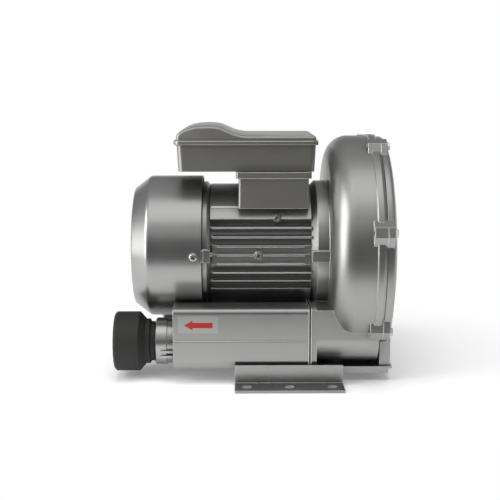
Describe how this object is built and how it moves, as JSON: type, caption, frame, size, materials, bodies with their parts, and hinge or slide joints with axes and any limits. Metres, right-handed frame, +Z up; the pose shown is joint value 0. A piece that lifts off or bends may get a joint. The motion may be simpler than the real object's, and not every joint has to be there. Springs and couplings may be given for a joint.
{
  "type": "side channel blower",
  "caption": "Single-stage side channel blower on a pressed foot: finned motor with fan cover and terminal box, ring-shaped impeller casing, two silencers and an outlet coupling.",
  "frame": {"origin": "on the floor under the shaft, at the centre of the foot's slots", "axes": "+Z up; +X along the shaft from the fan cover to the impeller cover; the outlet and its coupling are on the -Y side"},
  "size_m": [0.2977, 0.2542, 0.27],
  "materials": {
    "silver_paint": "satin silver-grey paint on cast aluminium and sheet",
    "grey_paint": "satin warm grey paint",
    "turned_aluminium": "turned or as cast, bare",
    "black_rubber": "moulded, dull",
    "black_plastic": "moulded, matte",
    "steel": "zinc plated or ground",
    "brass": "bare copper alloy",
    "foam": "open-cell foam"
  },
  "bodies": {
    "blower": {"impeller_housing": "silver_paint", "impeller_cover": "silver_paint", "motor_frame": "silver_paint", "end_bell": "silver_paint", "fan_cover": "silver_paint", "terminal_neck": "grey_paint", "terminal_box": "grey_paint", "terminal_lid": "grey_paint", "outlet_silencer": "silver_paint", "inlet_silencer": "silver_paint", "outlet_port": "turned_aluminium", "inlet_port": "turned_aluminium", "outlet_coupling": "black_rubber", "foot": "silver_paint", "cable_gland": "black_plastic", "shaft_seal": "black_rubber", "stator_core": "steel", "stator_windings": "brass", "wave_spring": "steel", "tie_rods": "steel", "outlet_foam": "foam", "inlet_foam": "foam", "outlet_tube": "steel", "inlet_tube": "steel", "outlet_gasket": "black_rubber", "inlet_gasket": "black_rubber", "terminal_block": "black_plastic", "terminal_studs": "brass", "capacitor": "turned_aluminium", "capacitor_clamp": "steel", "lid_gasket": "black_rubber", "gland_nut": "black_plastic", "drive_bearing_outer_ring": "steel", "rear_bearing_outer_ring": "steel", "lid_screws": "steel", "frame_screws": "steel", "fan_cover_screws": "steel", "flange_screws": "steel", "foot_bolts": "steel", "cover_bolts": "steel"},
    "rotor": {"shaft": "steel", "impeller_key": "steel", "impeller": "turned_aluminium", "impeller_shims": "steel", "impeller_washer": "steel", "impeller_bolt": "steel", "rotor_core": "steel", "rotor_cage": "turned_aluminium", "drive_bearing_inner_ring": "steel", "rear_bearing_inner_ring": "steel", "cooling_fan": "black_plastic", "fan_circlip": "steel"},
    "drive_cage": {"drive_bearing_balls": "steel", "drive_bearing_cage": "brass"},
    "rear_cage": {"rear_bearing_balls": "steel", "rear_bearing_cage": "brass"}
  },
  "joints": [
    {"name": "rotor_spin", "type": "hinge", "parent": "blower", "child": "rotor", "pos_m": [0, 0, 0.134], "axis": [1, 0, 0], "continuous": true},
    {"name": "drive_cage_spin", "type": "hinge", "parent": "blower", "child": "drive_cage", "pos_m": [0, 0, 0.134], "axis": [1, 0, 0], "continuous": true},
    {"name": "rear_cage_spin", "type": "hinge", "parent": "blower", "child": "rear_cage", "pos_m": [0, 0, 0.134], "axis": [1, 0, 0], "continuous": true}
  ],
  "couplings": [
    {"joint": "drive_cage_spin", "follows": "rotor_spin", "ratio": 0.3815},
    {"joint": "rear_cage_spin", "follows": "rotor_spin", "ratio": 0.3815}
  ]
}
